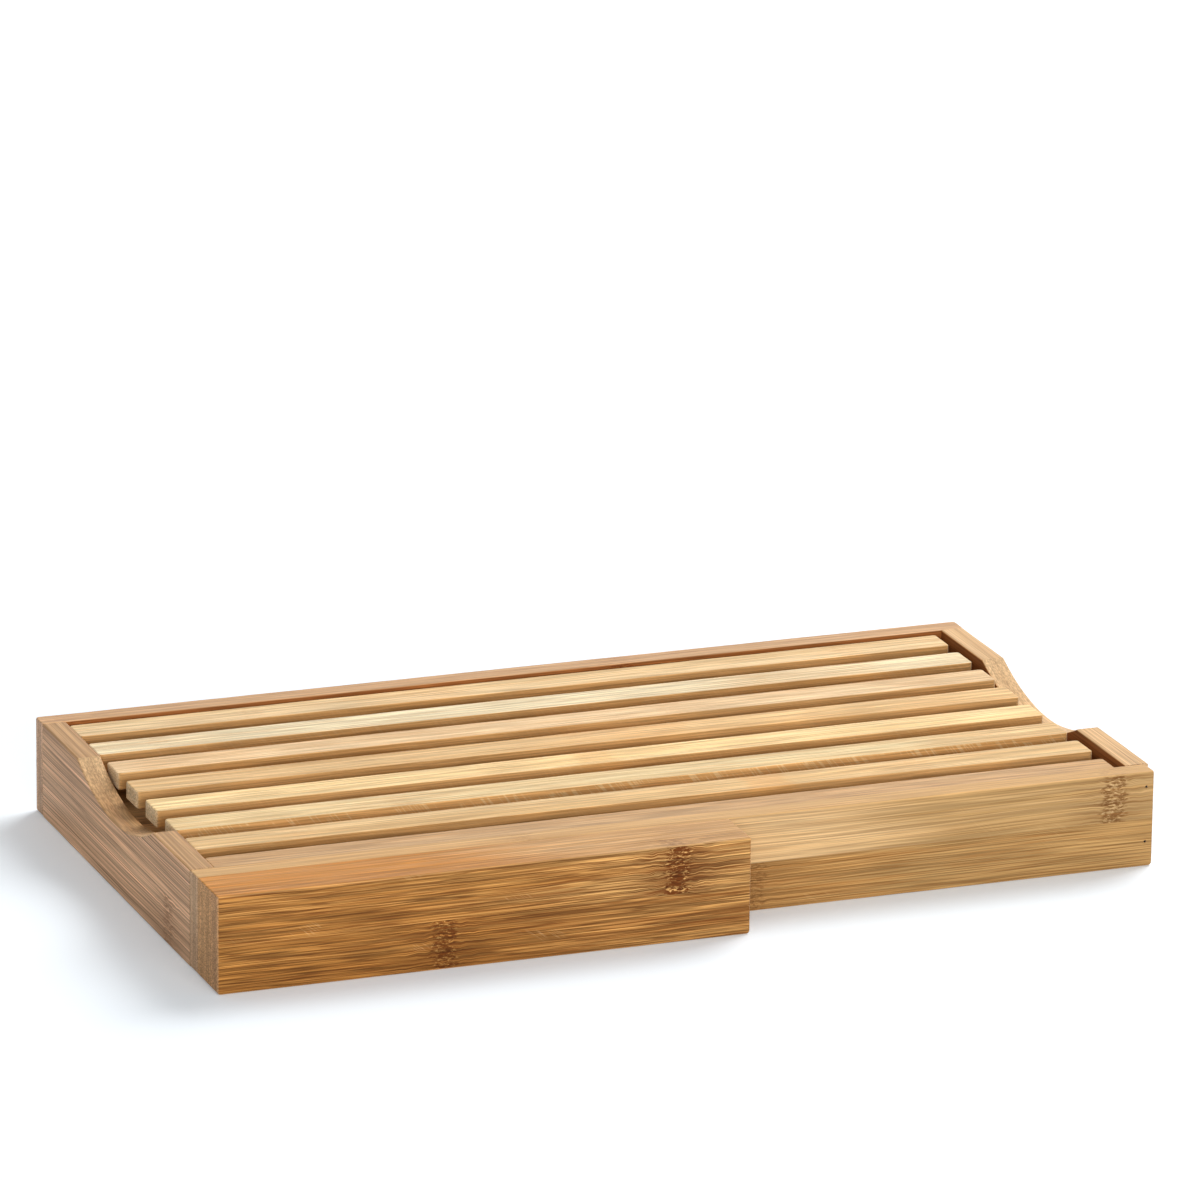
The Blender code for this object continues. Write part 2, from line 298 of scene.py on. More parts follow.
class Tree:
    """Short ways to add shader nodes to one node tree."""

    def __init__(self, tree):
        self.tree = tree

    def add(self, kind, **settings):
        node = self.tree.nodes.new(kind)
        for name, value in settings.items():
            setattr(node, name, value)
        return node

    def put(self, value, socket):
        """Link a socket's output, or set a plain value."""
        if isinstance(value, bpy.types.NodeSocket):
            self.tree.links.new(value, socket)
        else:
            socket.default_value = value

    def math(self, operation, *values):
        node = self.add("ShaderNodeMath", operation=operation)
        for value, socket in zip(values, node.inputs):
            self.put(value, socket)
        return node.outputs[0]

    def times(self, first, second):
        return self.math("MULTIPLY", first, second)

    def lift(self, value, share):
        """A value made larger by a share of itself."""
        return self.times(value, self.math("ADD", share, 1.0))

    def stray(self, pattern, reach, middle):
        """A value that follows a pattern from 0 to 1, by half the reach to either side of a middle."""
        return self.math("MULTIPLY_ADD", self.math("SUBTRACT", pattern, 0.5), reach, middle)

    def between(self, share, first, second):
        """A value between two values."""
        return self.math("MULTIPLY_ADD", share, self.math("SUBTRACT", second, first), first)

    def weighted(self, *pairs):
        """The sum of several values, each times its weight."""
        total = 0.0
        for value, weight in pairs:
            total = self.math("MULTIPLY_ADD", value, weight, total)
        return total

    def vector(self, x, y, z):
        node = self.add("ShaderNodeCombineXYZ")
        for value, socket in zip((x, y, z), node.inputs):
            self.put(value, socket)
        return node.outputs[0]

    def scaled(self, vector, scale):
        node = self.add("ShaderNodeVectorMath", operation="SCALE")
        self.put(vector, node.inputs[0])
        self.put(scale, node.inputs["Scale"])
        return node.outputs[0]

    def split(self, value):
        node = self.add("ShaderNodeSeparateXYZ")
        self.put(value, node.inputs[0])
        return node.outputs

    def cell(self, value):
        """The whole and the fraction part of a value."""
        return self.math("FLOOR", value), self.math("FRACT", value)

    def noise(self, place, detail, roughness=0.5, distortion=0.0):
        node = self.add("ShaderNodeTexNoise", noise_dimensions="3D")
        self.put(place, node.inputs["Vector"])
        node.inputs["Scale"].default_value = 1.0
        node.inputs["Detail"].default_value = detail
        node.inputs["Roughness"].default_value = roughness
        node.inputs["Distortion"].default_value = distortion
        return node.outputs[0]

    def random(self, place):
        """Four random numbers for a cell: one value, and a colour's three."""
        node = self.add("ShaderNodeTexWhiteNoise", noise_dimensions="3D")
        self.put(place, node.inputs["Vector"])
        parts = self.add("ShaderNodeSeparateColor")
        self.put(node.outputs["Color"], parts.inputs[0])
        return (node.outputs["Value"], *parts.outputs[:3])

    def ramp(self, value, low, high, out_low=0.0, out_high=1.0):
        """A smooth step from low to high."""
        node = self.add("ShaderNodeMapRange", interpolation_type="SMOOTHSTEP")
        for item, socket in zip((value, low, high, out_low, out_high), node.inputs):
            self.put(item, socket)
        return node.outputs[0]

    def crossing(self, pattern, wide, narrow, level=0.5):
        """A line where a pattern crosses a level. It shows nearer than wide, and fully within narrow."""
        return self.ramp(self.math("ABSOLUTE", self.math("SUBTRACT", pattern, level)), wide, narrow)

    def mix(self, share, first, second, blend="MIX"):
        node = self.add("ShaderNodeMix", data_type="RGBA", blend_type=blend)
        colours = [socket for socket in node.inputs if socket.type == "RGBA"]
        self.put(share, node.inputs[0])
        self.put(first, colours[0])
        self.put(second, colours[1])
        return [socket for socket in node.outputs if socket.type == "RGBA"][0]


def colour(values):
    return (*values, 1.0)


def new_material(name):
    """A material, its node tree and its shader."""
    material = bpy.data.materials.new(name)
    material.use_nodes = True
    return material, Tree(material.node_tree), material.node_tree.nodes["Principled BSDF"]


def add_object(name, bm):
    """A new object in the scene, with the mesh that was built."""
    mesh = bpy.data.meshes.new(name)
    bm.to_mesh(mesh)
    bm.free()
    piece = bpy.data.objects.new(name, mesh)
    bpy.context.collection.objects.link(piece)
    return piece


def seen_ray(t):
    """1 for rays that show the surroundings: the camera's, and those off a gloss or through glass."""
    path = t.add("ShaderNodeLightPath").outputs
    seen = t.math("MAXIMUM", path["Is Camera Ray"], path["Is Glossy Ray"])
    return t.math("MAXIMUM", seen, path["Is Transmission Ray"])


# The bamboo group's inputs: tones, numbers that each board gives, and numbers that it may leave as here
TONES = [f"{kind} {depth}" for kind in ("Even", "Odd", "Flank") for depth in ("pale", "deep")]
TONES += ["Streak", "Node", "Stain", "Flank stain", "End ground"]
REQUIRED = ("Seed", "Strip width", "Layer", "Even node", "Odd node", "Node spacing", "End", "Flank", "Arris")
USUAL = {
    # How far a face gets the inner faces' painted shade
    "Inside": 0.0,
    "Even strength": 1.0,
    "Odd strength": 1.0,
    "Even streaks": 0.7,
    "Odd streaks": 0.7,
    "Hairlines": 0.3,
    "Grain": 1.0,
    "Saw marks": 0.0,
    "Scuffs": 0.0,
    "Stain place": -1.0,
    "Stain reach": 0.01,
    "Stain strength": 0.0,
}


def new_group():
    """The bamboo group's tree, with its sockets."""
    group = bpy.data.node_groups.new("bamboo", "ShaderNodeTree")
    sockets = [("Place", "INPUT", "Vector")]
    sockets += [(name, "INPUT", "Color") for name in TONES]
    sockets += [(name, "INPUT", "Float") for name in (*REQUIRED, *USUAL)]
    sockets += [("Colour", "OUTPUT", "Color")]
    sockets += [(name, "OUTPUT", "Float") for name in ("Roughness", "Height")]
    for name, way, kind in sockets:
        group.interface.new_socket(name, in_out=way, socket_type="NodeSocket" + kind)
    return group


class Bamboo:
    """Laminated bamboo as a solid texture, laid on one layer after another.

    Place is the spot in the board: x along the grain, y across the strips' width, z through the
    layers. Even and odd strips have their own tones and nodes. End says how far a face looks along
    the grain, Flank how far it looks across the strips, and Arris how far it looks both across and
    through them. wood is the colour so far.
    """

    def __init__(self, group):
        """The strips, the cane's nodes and the patterns that the layers share."""
        t = Tree(group)
        self.t = t
        self.given = t.add("NodeGroupInput").outputs
        self.along, self.across, self.through = t.split(self.given["Place"])
        self.grain = t.times(self.along, self.given["Grain"])
        self.lay_strips()
        self.across = t.stray(self.pattern("sway"), fibre_sway, self.across)
        self.place_nodes()
        bow = t.times(t.math("SUBTRACT", self.pattern("bend"), 0.5), self.halo)
        self.across = t.math("MULTIPLY_ADD", bow, fibre_bend, self.across)
        self.bands = self.pattern("bands")
        self.strands = self.pattern("strands")
        self.fibres = self.pattern("fibres", roughness=0.6)
        self.lines = self.pattern("lines")
        amount = t.between(self.odd, self.given["Even streaks"], self.given["Odd streaks"])
        self.amount = self.less_on_flank(amount, by=0.6)

    def lay_strips(self):
        """Strips and layers, each with its own random numbers."""
        t = self.t
        strip, self.in_strip = t.cell(t.math("DIVIDE", self.across, self.given["Strip width"]))
        self.layer, self.in_layer = t.cell(t.math("DIVIDE", self.through, self.given["Layer"]))
        shade, self.hue, self.flip, self.jitter = t.random(t.vector(strip, self.layer, self.given["Seed"]))
        self.shift = t.math("MULTIPLY_ADD", shade, strip_shift, self.given["Seed"])
        self.odd = t.math("MODULO", t.math("ABSOLUTE", strip), 2.0)

    def pattern(self, name, roughness=0.5, distortion=0.0, across=None):
        """One of the named patterns, stretched along the grain."""
        t = self.t
        kind, along_rate, across_rate, detail = PATTERNS[name]
        along = self.grain if kind == "grain" else self.along
        shift = self.given["Seed"] if kind == "board" else self.shift
        across = self.across if across is None else across
        spot = t.vector(
            t.math("MULTIPLY_ADD", along, along_rate, shift),
            t.math("MULTIPLY_ADD", across, across_rate, shift),
            t.math("MULTIPLY_ADD", self.through, across_rate, shift),
        )
        return t.noise(spot, detail, roughness, distortion)

    def less_on_flank(self, value, by):
        """A value that is less by a share of itself on the flanks."""
        return self.t.times(value, self.t.math("MULTIPLY_ADD", self.given["Flank"], -by, 1.0))

    def place_nodes(self):
        """The cane's nodes: the core of each, the halo around it, and the tail on one side."""
        t = self.t
        given = self.given
        strength = t.between(self.odd, given["Even strength"], given["Odd strength"])
        strength = self.less_on_flank(strength, by=0.75)
        place = t.between(self.odd, given["Even node"], given["Odd node"])
        place = t.math("MULTIPLY_ADD", t.times(self.layer, self.jitter), node_jitter, place)
        turns = t.math("DIVIDE", t.math("SUBTRACT", self.along, place), given["Node spacing"])
        from_node = t.times(t.math("SUBTRACT", turns, t.math("ROUND", turns)), given["Node spacing"])
        from_node = t.stray(self.pattern("ragged"), node_fray, from_node)
        away = t.math("ABSOLUTE", from_node)
        self.core = t.times(t.ramp(away, *NEAR["core"]), strength)
        self.halo = t.times(t.ramp(away, *NEAR["halo"]), strength)
        tail = t.times(t.ramp(from_node, *NEAR["tail"]), t.math("GREATER_THAN", from_node, 0.0))
        self.tail = t.times(tail, strength)

    def lay(self, mark, tone, cover=1.0):
        """Cover the wood where a mark is with a tone, or with the given tone of that name."""
        tone = self.given[tone] if isinstance(tone, str) else tone
        self.wood = self.t.mix(self.t.times(mark, cover), self.wood, tone)

    def ground(self):
        """The ground tone between pale and deep, with how far each pattern makes it stray."""
        t = self.t
        given = self.given
        outer = t.math("ABSOLUTE", t.math("SUBTRACT", self.in_layer, t.math("GREATER_THAN", self.flip, 0.5)))
        tone = tone_middle
        parts = ((self.bands, 2.1), (outer, 0.35), (self.hue, 0.35), (self.strands, 0.8), (self.fibres, 0.8))
        for pattern, reach in parts:
            tone = t.stray(pattern, reach, tone)
        pale = t.mix(self.odd, given["Even pale"], given["Odd pale"])
        deep = t.mix(self.odd, given["Even deep"], given["Odd deep"])
        self.pale = t.mix(given["Flank"], pale, given["Flank pale"])
        self.wood = t.mix(t.ramp(tone, 0.0, 1.0), self.pale, t.mix(given["Flank"], deep, given["Flank deep"]))

    def stained_stretch(self):
        """A stretch of the board with a tone of its own, less of it on the darker strands. On the tops of the
        block's boards at the left it is partly real stain and partly painted warm shade.
        """
        t = self.t
        given = self.given
        reach = t.math("ABSOLUTE", t.math("SUBTRACT", self.along, given["Stain place"]))
        reach = t.stray(self.bands, 1.0, t.math("DIVIDE", reach, given["Stain reach"]))
        stain = t.times(t.ramp(reach, low=1.0, high=0.55), given["Stain strength"])
        stain = t.times(stain, t.ramp(self.strands, low=0.38, high=0.60, out_low=0.78))
        self.lay(stain, t.mix(given["Flank"], given["Stain"], given["Flank stain"]))

    def streaks(self):
        """Dark streaks, more of them around the nodes, and bright ones between them."""
        t = self.t
        drive = t.weighted(
            (self.fibres, 0.52), (self.strands, 0.34), (self.bands, 0.14),
            (self.halo, 0.030), (self.tail, 0.012),
        )
        streak = t.times(t.ramp(drive, low=0.50, high=0.60), self.amount)
        self.lay(streak, "Streak", cover=0.36)
        self.bright = t.ramp(drive, low=0.47, high=0.38)

    def strokes(self):
        """Long thin strokes that fade in and out, and short finer ones with a pale side."""
        t = self.t
        stroke = t.crossing(self.pattern("strokes"), wide=0.042, narrow=0.014)
        stroke = t.times(stroke, t.ramp(self.pattern("breaks"), low=0.40, high=0.56))
        self.lay(t.times(stroke, self.amount), "Streak", cover=0.85)
        dashes = self.pattern("dashes")
        dash = t.crossing(dashes, level=0.47, wide=0.070, narrow=0.030)
        self.lay(t.times(dash, self.amount), "Streak", cover=0.80)
        self.gleam = t.crossing(dashes, level=0.61, wide=0.060, narrow=0.020)

    def hairlines(self):
        """Thin long lines."""
        t = self.t
        thread = t.crossing(self.pattern("threads"), wide=0.032, narrow=0.006)
        thread = t.times(thread, t.ramp(self.pattern("fading"), low=0.40, high=0.58))
        thread = t.times(thread, self.given["Hairlines"])
        self.lay(self.less_on_flank(thread, by=0.6), "Streak")

    def node_marks(self):
        """Short knotted fibres in the nodes, with pale scars between them that are partly painted highlights
        on the knotted relief.
        """
        t = self.t
        knots = self.pattern("knots", roughness=0.65, distortion=0.25)
        flare = t.math("MAXIMUM", self.halo, t.times(self.tail, tail_share))
        flare = t.times(flare, t.ramp(self.fibres, low=0.44, high=0.58, out_low=0.03, out_high=0.66))
        self.lay(flare, "Node")
        self.knot = t.times(t.ramp(knots, low=0.47, high=0.54), self.core)
        self.lay(self.knot, "Node", cover=0.9)
        # Pale scars: partly painted highlights on the knotted relief
        scar_and_highlight = t.times(t.ramp(knots, low=0.42, high=0.35), self.core)
        self.lay(scar_and_highlight, self.pale, cover=0.8)

    def end_grain(self):
        """Cut fibre ends on the end grain."""
        t = self.t
        ends = self.pattern("ends", roughness=0.6, across=t.times(self.across, end_dots_run))
        dots = t.times(t.ramp(ends, low=0.48, high=0.62), self.given["End"])
        self.lay(self.given["End"], "End ground", cover=0.85)
        self.lay(dots, "Streak", cover=0.30)

    def saw_marks(self):
        """Saw marks that cross the sawn flanks at a slant."""
        t = self.t
        seed = self.given["Seed"]
        slant = t.times(t.math("MULTIPLY_ADD", self.through, saw_slant, self.along), saw_rate)
        saw = t.noise(t.vector(slant, t.times(self.through, saw_break_rate), seed), detail=1.0)
        places = [t.times(part, rate) for part, rate in zip((self.along, self.through), saw_patch_rates)]
        patches = t.ramp(t.noise(t.vector(*places, seed), detail=2.0), low=0.38, high=0.52)
        sawn = t.times(t.crossing(saw, wide=0.050, narrow=0.015), patches)
        self.sawn = t.times(sawn, t.times(self.given["Saw marks"], self.given["Flank"]))
        self.lay(self.sawn, "Even pale", cover=0.42)

    def scuffs(self):
        """Pale scuffs in a few places."""
        t = self.t
        slant = t.times(t.math("MULTIPLY_ADD", self.across, scuff_slant, self.along), scuff_rate)
        spot = t.vector(slant, t.times(self.across, scuff_break_rate), self.given["Seed"])
        scuff = t.crossing(t.noise(spot, detail=1.0), wide=0.045, narrow=0.012)
        scuff = t.times(scuff, t.ramp(self.pattern("scuffed"), low=0.63, high=0.70))
        self.lay(t.times(scuff, self.given["Scuffs"]), "Flank pale")

    def edge_line(self, share, width):
        """A thin line at both edges of a strip or layer. share is how far across it a spot lies."""
        t = self.t
        from_middle = t.math("ABSOLUTE", t.math("SUBTRACT", share, 0.5))
        from_edge = t.times(t.math("SUBTRACT", 0.5, from_middle), width)
        return t.ramp(from_edge, *NEAR["glue"])

    def glue_lines(self):
        """Glue lines between the strips and layers."""
        t = self.t
        given = self.given
        strip_line = self.edge_line(self.in_strip, given["Strip width"])
        strip_line = t.times(strip_line, t.math("SUBTRACT", 1.0, given["Flank"]))
        layer_line = self.edge_line(self.in_layer, given["Layer"])
        layer_line = t.times(layer_line, t.math("MAXIMUM", given["Flank"], given["End"]))
        self.glue = t.math("MAXIMUM", strip_line, layer_line)
        self.lay(self.glue, "Streak", cover=0.40)

    def painted_arris_highlight(self):
        """The arrises are painted paler: a painted highlight along the rounded edges."""
        self.lay(self.given["Arris"], "Flank pale", cover=0.35)

    def brightness(self):
        """Uneven brightness over the board, in the fine lines and in the end grain, and a painted highlight
        on the arrises.
        """
        t = self.t
        value = t.ramp(self.pattern("cloud"), low=0.25, high=0.75, out_low=0.93, out_high=1.06)
        fine = t.ramp(self.lines, low=0.36, high=0.64, out_low=1.0, out_high=-1.0)
        gains = ((fine, 0.20, 0.12), (self.bright, 0.10, 0.03), (self.gleam, 0.24, 0.07))
        for pattern, with_streaks, anyway in gains:
            value = t.lift(value, t.times(pattern, t.math("MULTIPLY_ADD", self.amount, with_streaks, anyway)))
        # Painted highlight on the arrises
        value = t.lift(value, t.times(self.given["Arris"], arris_highlight_gain))
        value = t.lift(value, t.times(self.sawn, saw_gain))
        places = [t.times(part, rate) for part, rate in zip((self.across, self.through), end_layer_rates)]
        layers = t.noise(t.vector(0.0, *places), detail=1.0)
        layers = t.ramp(layers, low=0.35, high=0.65, out_low=-end_layer_gain, out_high=end_layer_gain)
        return t.lift(value, t.times(layers, self.given["End"]))

    def finish(self):
        """Give out the colour, the roughness and the height of the grain."""
        t = self.t
        out = t.add("NodeGroupOutput").inputs
        lit = t.scaled(self.wood, self.brightness())
        dull = t.stray(self.lines, reach=0.18, middle=wood_roughness)
        height = t.weighted(
            (self.fibres, -0.5), (self.lines, -0.3), (self.knot, -0.7), (self.sawn, 0.5), (self.glue, -0.8),
        )
        # Painted shade on the inner faces: their colour is multiplied by a dark tint
        t.put(t.mix(self.given["Inside"], lit, colour(inner_shade_tint), "MULTIPLY"), out["Colour"])
        t.put(t.math("MULTIPLY_ADD", self.given["End"], end_roughness, dull), out["Roughness"])
        t.put(height, out["Height"])


def bamboo_group():
    """The group of nodes that all boards share."""
    group = new_group()
    bamboo = Bamboo(group)
    bamboo.ground()
    bamboo.stained_stretch()
    bamboo.streaks()
    bamboo.strokes()
    bamboo.hairlines()
    bamboo.node_marks()
    bamboo.end_grain()
    bamboo.saw_marks()
    bamboo.scuffs()
    bamboo.glue_lines()
    bamboo.painted_arris_highlight()
    bamboo.finish()
    return group


wood_group = bamboo_group()


def tone_values(tones):
    """The group's colour inputs for one kind of board. Odd strips are like even ones if not given."""
    stain = tones.get("stain", tones["streak"])
    values = {"Streak": tones["streak"], "Node": tones["node"], "End ground": tones["end"], "Stain": stain}
    values["Flank stain"] = tones.get("flank_stain", stain)
    for kind in ("even", "odd", "flank"):
        pale, deep = tones.get(kind, tones["even"])
        values[kind.capitalize() + " pale"] = pale
        values[kind.capitalize() + " deep"] = deep
    return {name: colour(value) for name, value in values.items()}


def link_face(t, group, order, origin, inside, end_turn):
    """Tell the group the spot in the board, and which way the face there looks."""
    spot = t.split(t.add("ShaderNodeTexCoord").outputs["Object"])
    facing = t.split(t.add("ShaderNodeNewGeometry").outputs["Normal"])
    place = [t.math("SUBTRACT", spot[axis], origin[axis]) for axis in order]
    t.put(t.vector(*place), group.inputs["Place"])
    endward, sideways, outward = [t.math("ABSOLUTE", facing[axis]) for axis in order]
    t.put(t.ramp(endward, *end_turn), group.inputs["End"])
    t.put(t.ramp(sideways, low=0.3, high=0.8), group.inputs["Flank"])
    t.put(t.ramp(t.math("MINIMUM", sideways, outward), low=0.2, high=0.6), group.inputs["Arris"])
    # The face that looks inward is marked for the inner faces' painted shade
    if inside:
        inward = t.times(facing[order[2]], float(inside))
        t.put(t.ramp(inward, low=0.5, high=0.9), group.inputs["Inside"])


def bamboo(name, tones, order, origin, seed, strip, layer, nodes, inside=0, end_turn=(0.35, 0.9), **changes):
    """One board's bamboo.

    order gives the axes along, across and through, and origin is where the strips start. nodes gives
    where even and odd strips have theirs, and how far the next ones lie. inside is the direction, 1
    or -1 through the layers, in which the inner face looks that gets painted shade. end_turn is how
    far a face turns along the grain before its fibres show as ends, and when they show fully. changes
    are other inputs of the group, in lower case, with the stain's place on the frame's own axis.
    """
    material, t, shader = new_material("bamboo_" + name)
    group = t.add("ShaderNodeGroup")
    group.node_tree = wood_group
    link_face(t, group, order, origin, inside, end_turn)
    start = origin[order[0]]
    values = {**USUAL, **tone_values(tones), "Seed": seed, "Strip width": strip, "Layer": layer}
    values.update({"Even node": nodes[0] - start, "Odd node": nodes[1] - start, "Node spacing": nodes[2]})
    for key, value in changes.items():
        key = key.replace("_", " ").capitalize()
        values[key] = value - start if key == "Stain place" else value
    for key, value in values.items():
        group.inputs[key].default_value = value
    bump = t.add("ShaderNodeBump")
    bump.inputs["Strength"].default_value = grain_bump
    bump.inputs["Distance"].default_value = grain_height
    t.put(group.outputs["Height"], bump.inputs["Height"])
    t.put(group.outputs["Colour"], shader.inputs["Base Color"])
    t.put(group.outputs["Roughness"], shader.inputs["Roughness"])
    t.put(bump.outputs[0], shader.inputs["Normal"])
    shader.inputs["Specular IOR Level"].default_value = wood_gloss
    return material


def steel():
    """Drawn steel wire, nearly black, in spots of two dark tones."""
    material, t, shader = new_material("steel_pin")
    place = t.add("ShaderNodeTexCoord").outputs["Object"]
    spots = t.noise(t.scaled(place, steel_spot_rate), detail=3.0)
    roughness = t.ramp(spots, low=0.3, high=0.7, out_low=0.5, out_high=0.75)
    t.put(t.mix(t.ramp(spots, low=0.4, high=0.65), *steel_tones), shader.inputs["Base Color"])
    t.put(roughness, shader.inputs["Roughness"])
    shader.inputs["Metallic"].default_value = 1.0
    return material


# Board meshes


def rounding(distance, radius):
    """How far a face is drawn in at a distance from a rounded end."""
    if radius <= 0.0 or distance >= radius:
        return 0.0
    return radius - math.sqrt(max(radius ** 2 - (radius - distance) ** 2, 0.0))


def corner_offsets(radius):
    """Offsets from a sharp corner through its round, from the level face to the upright one.

    Each is (towards the board's middle across, towards its middle in height).
    """
    if radius <= 0.0:
        return [(support, 0.0), (0.0, 0.0), (0.0, support)]
    points = [(radius + support, 0.0)]
    points += [(radius * (1 - math.sin(angle)), radius * (1 - math.cos(angle))) for angle in arc_angles]
    return points + [(0.0, radius + support)]


class Board:
    """A board swept along its grain, with eased arrises, ends and a slight unevenness.

    low and high are its corners. along is the grain's axis, X or Y. Each of the four long arrises
    has its own radius, in the order low side bottom, high side bottom, high side top, low side top.
    plan is the radius of the ends seen from above, and edges gives the radius at the foot and at the
    top of the ends seen from the side. square_ends are the ends, 0 low and 1 high, that butt against
    another board. sides says which of the two long faces wander a little.
    """

    def __init__(
        self, name, low, high, along, radii, plan, edges, seed, square_ends=(), top=None, sides=(1, 1)
    ):
        self.name = name
        self.low = low
        self.high = high
        self.along = along
        self.side = 1 - along
        self.radii = radii
        self.plan = plan
        self.edges = edges
        self.seed = seed
        self.square_ends = square_ends
        self.top = top
        self.sides = sides

    def stations(self):
        """Distances along the grain where a ring of points lies."""
        start = self.low[self.along]
        end = self.high[self.along]
        widest = max(self.plan, *self.edges)
        places = set()
        for at_end in (0, 1):
            if at_end in self.square_ends:
                steps = [0.0, support]
            else:
                steps = []
                for radius in (self.plan, *self.edges):
                    steps += [radius * (1 - math.cos(angle)) for angle in arc_angles]
                steps.append(widest + support)
            for step in steps:
                places.add(round(end - step if at_end else start + step, place_digits))
        count = max(2, round((end - start) / station_step))
        margin = widest + 2 * support
        for index in range(1, count):
            place = start + (end - start) * index / count
            if start + margin < place < end - margin:
                places.add(round(place, place_digits))
        if self.top:
            places.update(round(place, place_digits) for place in self.top.breaks())
        return sorted(places)

    def to_ends(self, place):
        """How far a place along the grain lies from the low and the high end."""
        return place - self.low[self.along], self.high[self.along] - place

    def insets(self, place):
        """How far the sides, the bottom and the top are drawn in at a place along the grain."""
        inward = [0.0, 0.0, 0.0]
        for at_end, distance in enumerate(self.to_ends(place)):
            if at_end not in self.square_ends:
                for index, radius in enumerate((self.plan, *self.edges)):
                    inward[index] = max(inward[index], rounding(distance, radius))
        return inward

    def unevenness(self, place, lane):
        """A small inward wander of one face or arris along the board."""
        spot = [part * rate for part, rate in zip((place, lane, self.seed), wobble_rates)]
        value = noise.noise(Vector(spot))
        calm = min(max((min(self.to_ends(place)) - calm_end) / calm_fade, 0.0), 1.0)
        return wobble * (0.5 + 0.5 * value * calm)

    def ring(self, place):
        """The points round the board at one place along the grain, as (side, height) pairs."""
        side_in, foot_in, top_in = self.insets(place)
        low = self.low[self.side] + side_in * self.sides[0] + self.unevenness(place, 1) * self.sides[0]
        high = self.high[self.side] - side_in * self.sides[1] - self.unevenness(place, 2) * self.sides[1]
        bottom = self.low.z + foot_in
        top_here = self.top.height(place) if self.top else self.high.z
        top = top_here - top_in - self.unevenness(place, 3)
        corners = [(low, bottom, 1, 1), (high, bottom, -1, 1), (high, top, -1, -1), (low, top, 1, -1)]
        points = []
        for index, (x, z, inward, upward) in enumerate(corners):
            spot = Vector((place * arris_rates[0], index * arris_rates[1], self.seed))
            radius = self.radii[index] * (1 + arris_share * noise.noise(spot))
            offsets = corner_offsets(radius)
            if index in (0, 2):
                offsets.reverse()
            points += [(x + inward * across, z + upward * over) for across, over in offsets]
        return points

    def mesh(self):
        bm = bmesh.new()
        rings = []
        for place in self.stations():
            spots = [(place, side, height) for side, height in self.ring(place)]
            if self.along == Y:
                spots = [(side, along, height) for along, side, height in spots]
            rings.append([bm.verts.new(spot) for spot in spots])
        count = len(rings[0])
        for first, second in zip(rings, rings[1:]):
            for index in range(count):
                after = (index + 1) % count
                bm.faces.new((first[index], first[after], second[after], second[index]))
        for ring in (rings[0], rings[-1]):
            self.close(bm, ring)
        bmesh.ops.recalc_face_normals(bm, faces=bm.faces)
        if bm.calc_volume(signed=True) < 0.0:
            bmesh.ops.reverse_faces(bm, faces=bm.faces)
        return bm

    def close(self, bm, ring):
        """Close an end with a narrow border around its middle."""
        centre = sum((vert.co for vert in ring), Vector()) / len(ring)
        inner = []
        for vert in ring:
            toward = centre - vert.co
            step = Vector([math.copysign(min(abs(part), support), part) for part in toward])
            inner.append(bm.verts.new(vert.co + step))
        count = len(ring)
        for index in range(count):
            after = (index + 1) % count
            bm.faces.new((ring[index], ring[after], inner[after], inner[index]))
        bm.faces.new(inner)

    def build(self, material, body, replaced):
        piece = add_object(self.name, self.mesh())
        piece.data.shade_smooth()
        piece.data.set_sharp_from_angle(angle=sharp_angle)
        piece.data.materials.append(material)
        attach(piece, body)
        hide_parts(replaced)
        return piece


class Scoop:
    """The top of a side board along Y: flat, with a round finger scoop."""

    def __init__(self, node):
        """Read the scoop's middle and depth from the node's own outline."""
        low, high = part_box(node)
        half_way = (low.y + high.y) / 2
        spots = [vert.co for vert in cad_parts[node].data.vertices if vert.co.z > high.z / 2]
        near = [spot for spot in spots if abs(spot.y - half_way) < scoop_half_chord * scoop_search_share]
        dip = [spot for spot in near if spot.z < high.z - scoop_margin]
        self.flat = high.z
        self.middle = (min(spot.y for spot in dip) + max(spot.y for spot in dip)) / 2
        self.depth = high.z - max(spot.z for spot in dip if abs(spot.y - self.middle) < scoop_margin)
        self.radius = (scoop_half_chord ** 2 + self.depth ** 2) / (2 * self.depth)

    def height(self, y):
        reach = y - self.middle
        if abs(reach) >= scoop_half_chord:
            return self.flat
        centre = self.flat - self.depth + self.radius
        return centre - math.sqrt(self.radius ** 2 - reach ** 2)

    def breaks(self):
        """Places along Y where the scoop needs a ring."""
        reaches = [scoop_half_chord * (2 * k / scoop_steps - 1) for k in range(scoop_steps + 1)]
        outer = scoop_half_chord + support
        return [self.middle + reach for reach in (-outer, *reaches, outer)]


# Cuts


def cut_away(piece, bm, name):
    """Cut a guide mesh out of a piece for good."""
    bmesh.ops.recalc_face_normals(bm, faces=bm.faces)
    cutter = add_object(name, bm)
    modifier = piece.modifiers.new(name, "BOOLEAN")
    modifier.operation = "DIFFERENCE"
    modifier.solver = "EXACT"
    modifier.object = cutter
    bpy.context.view_layer.update()
    finished = bpy.data.meshes.new_from_object(piece.evaluated_get(bpy.context.evaluated_depsgraph_get()))
    piece.modifiers.clear()
    old = piece.data
    finished.name = piece.name
    finished.set_sharp_from_angle(angle=sharp_angle)
    piece.data = finished
    bpy.data.meshes.remove(old)
    bpy.data.objects.remove(cutter)


def box_bm(low, high):
    bm = bmesh.new()
    low = Vector(low)
    high = Vector(high)
    bmesh.ops.create_cube(bm, size=1.0)
    matrix = Matrix.Translation((low + high) / 2) @ Matrix.Diagonal((*(high - low), 1.0))
    bmesh.ops.transform(bm, matrix=matrix, verts=bm.verts)
    return bm


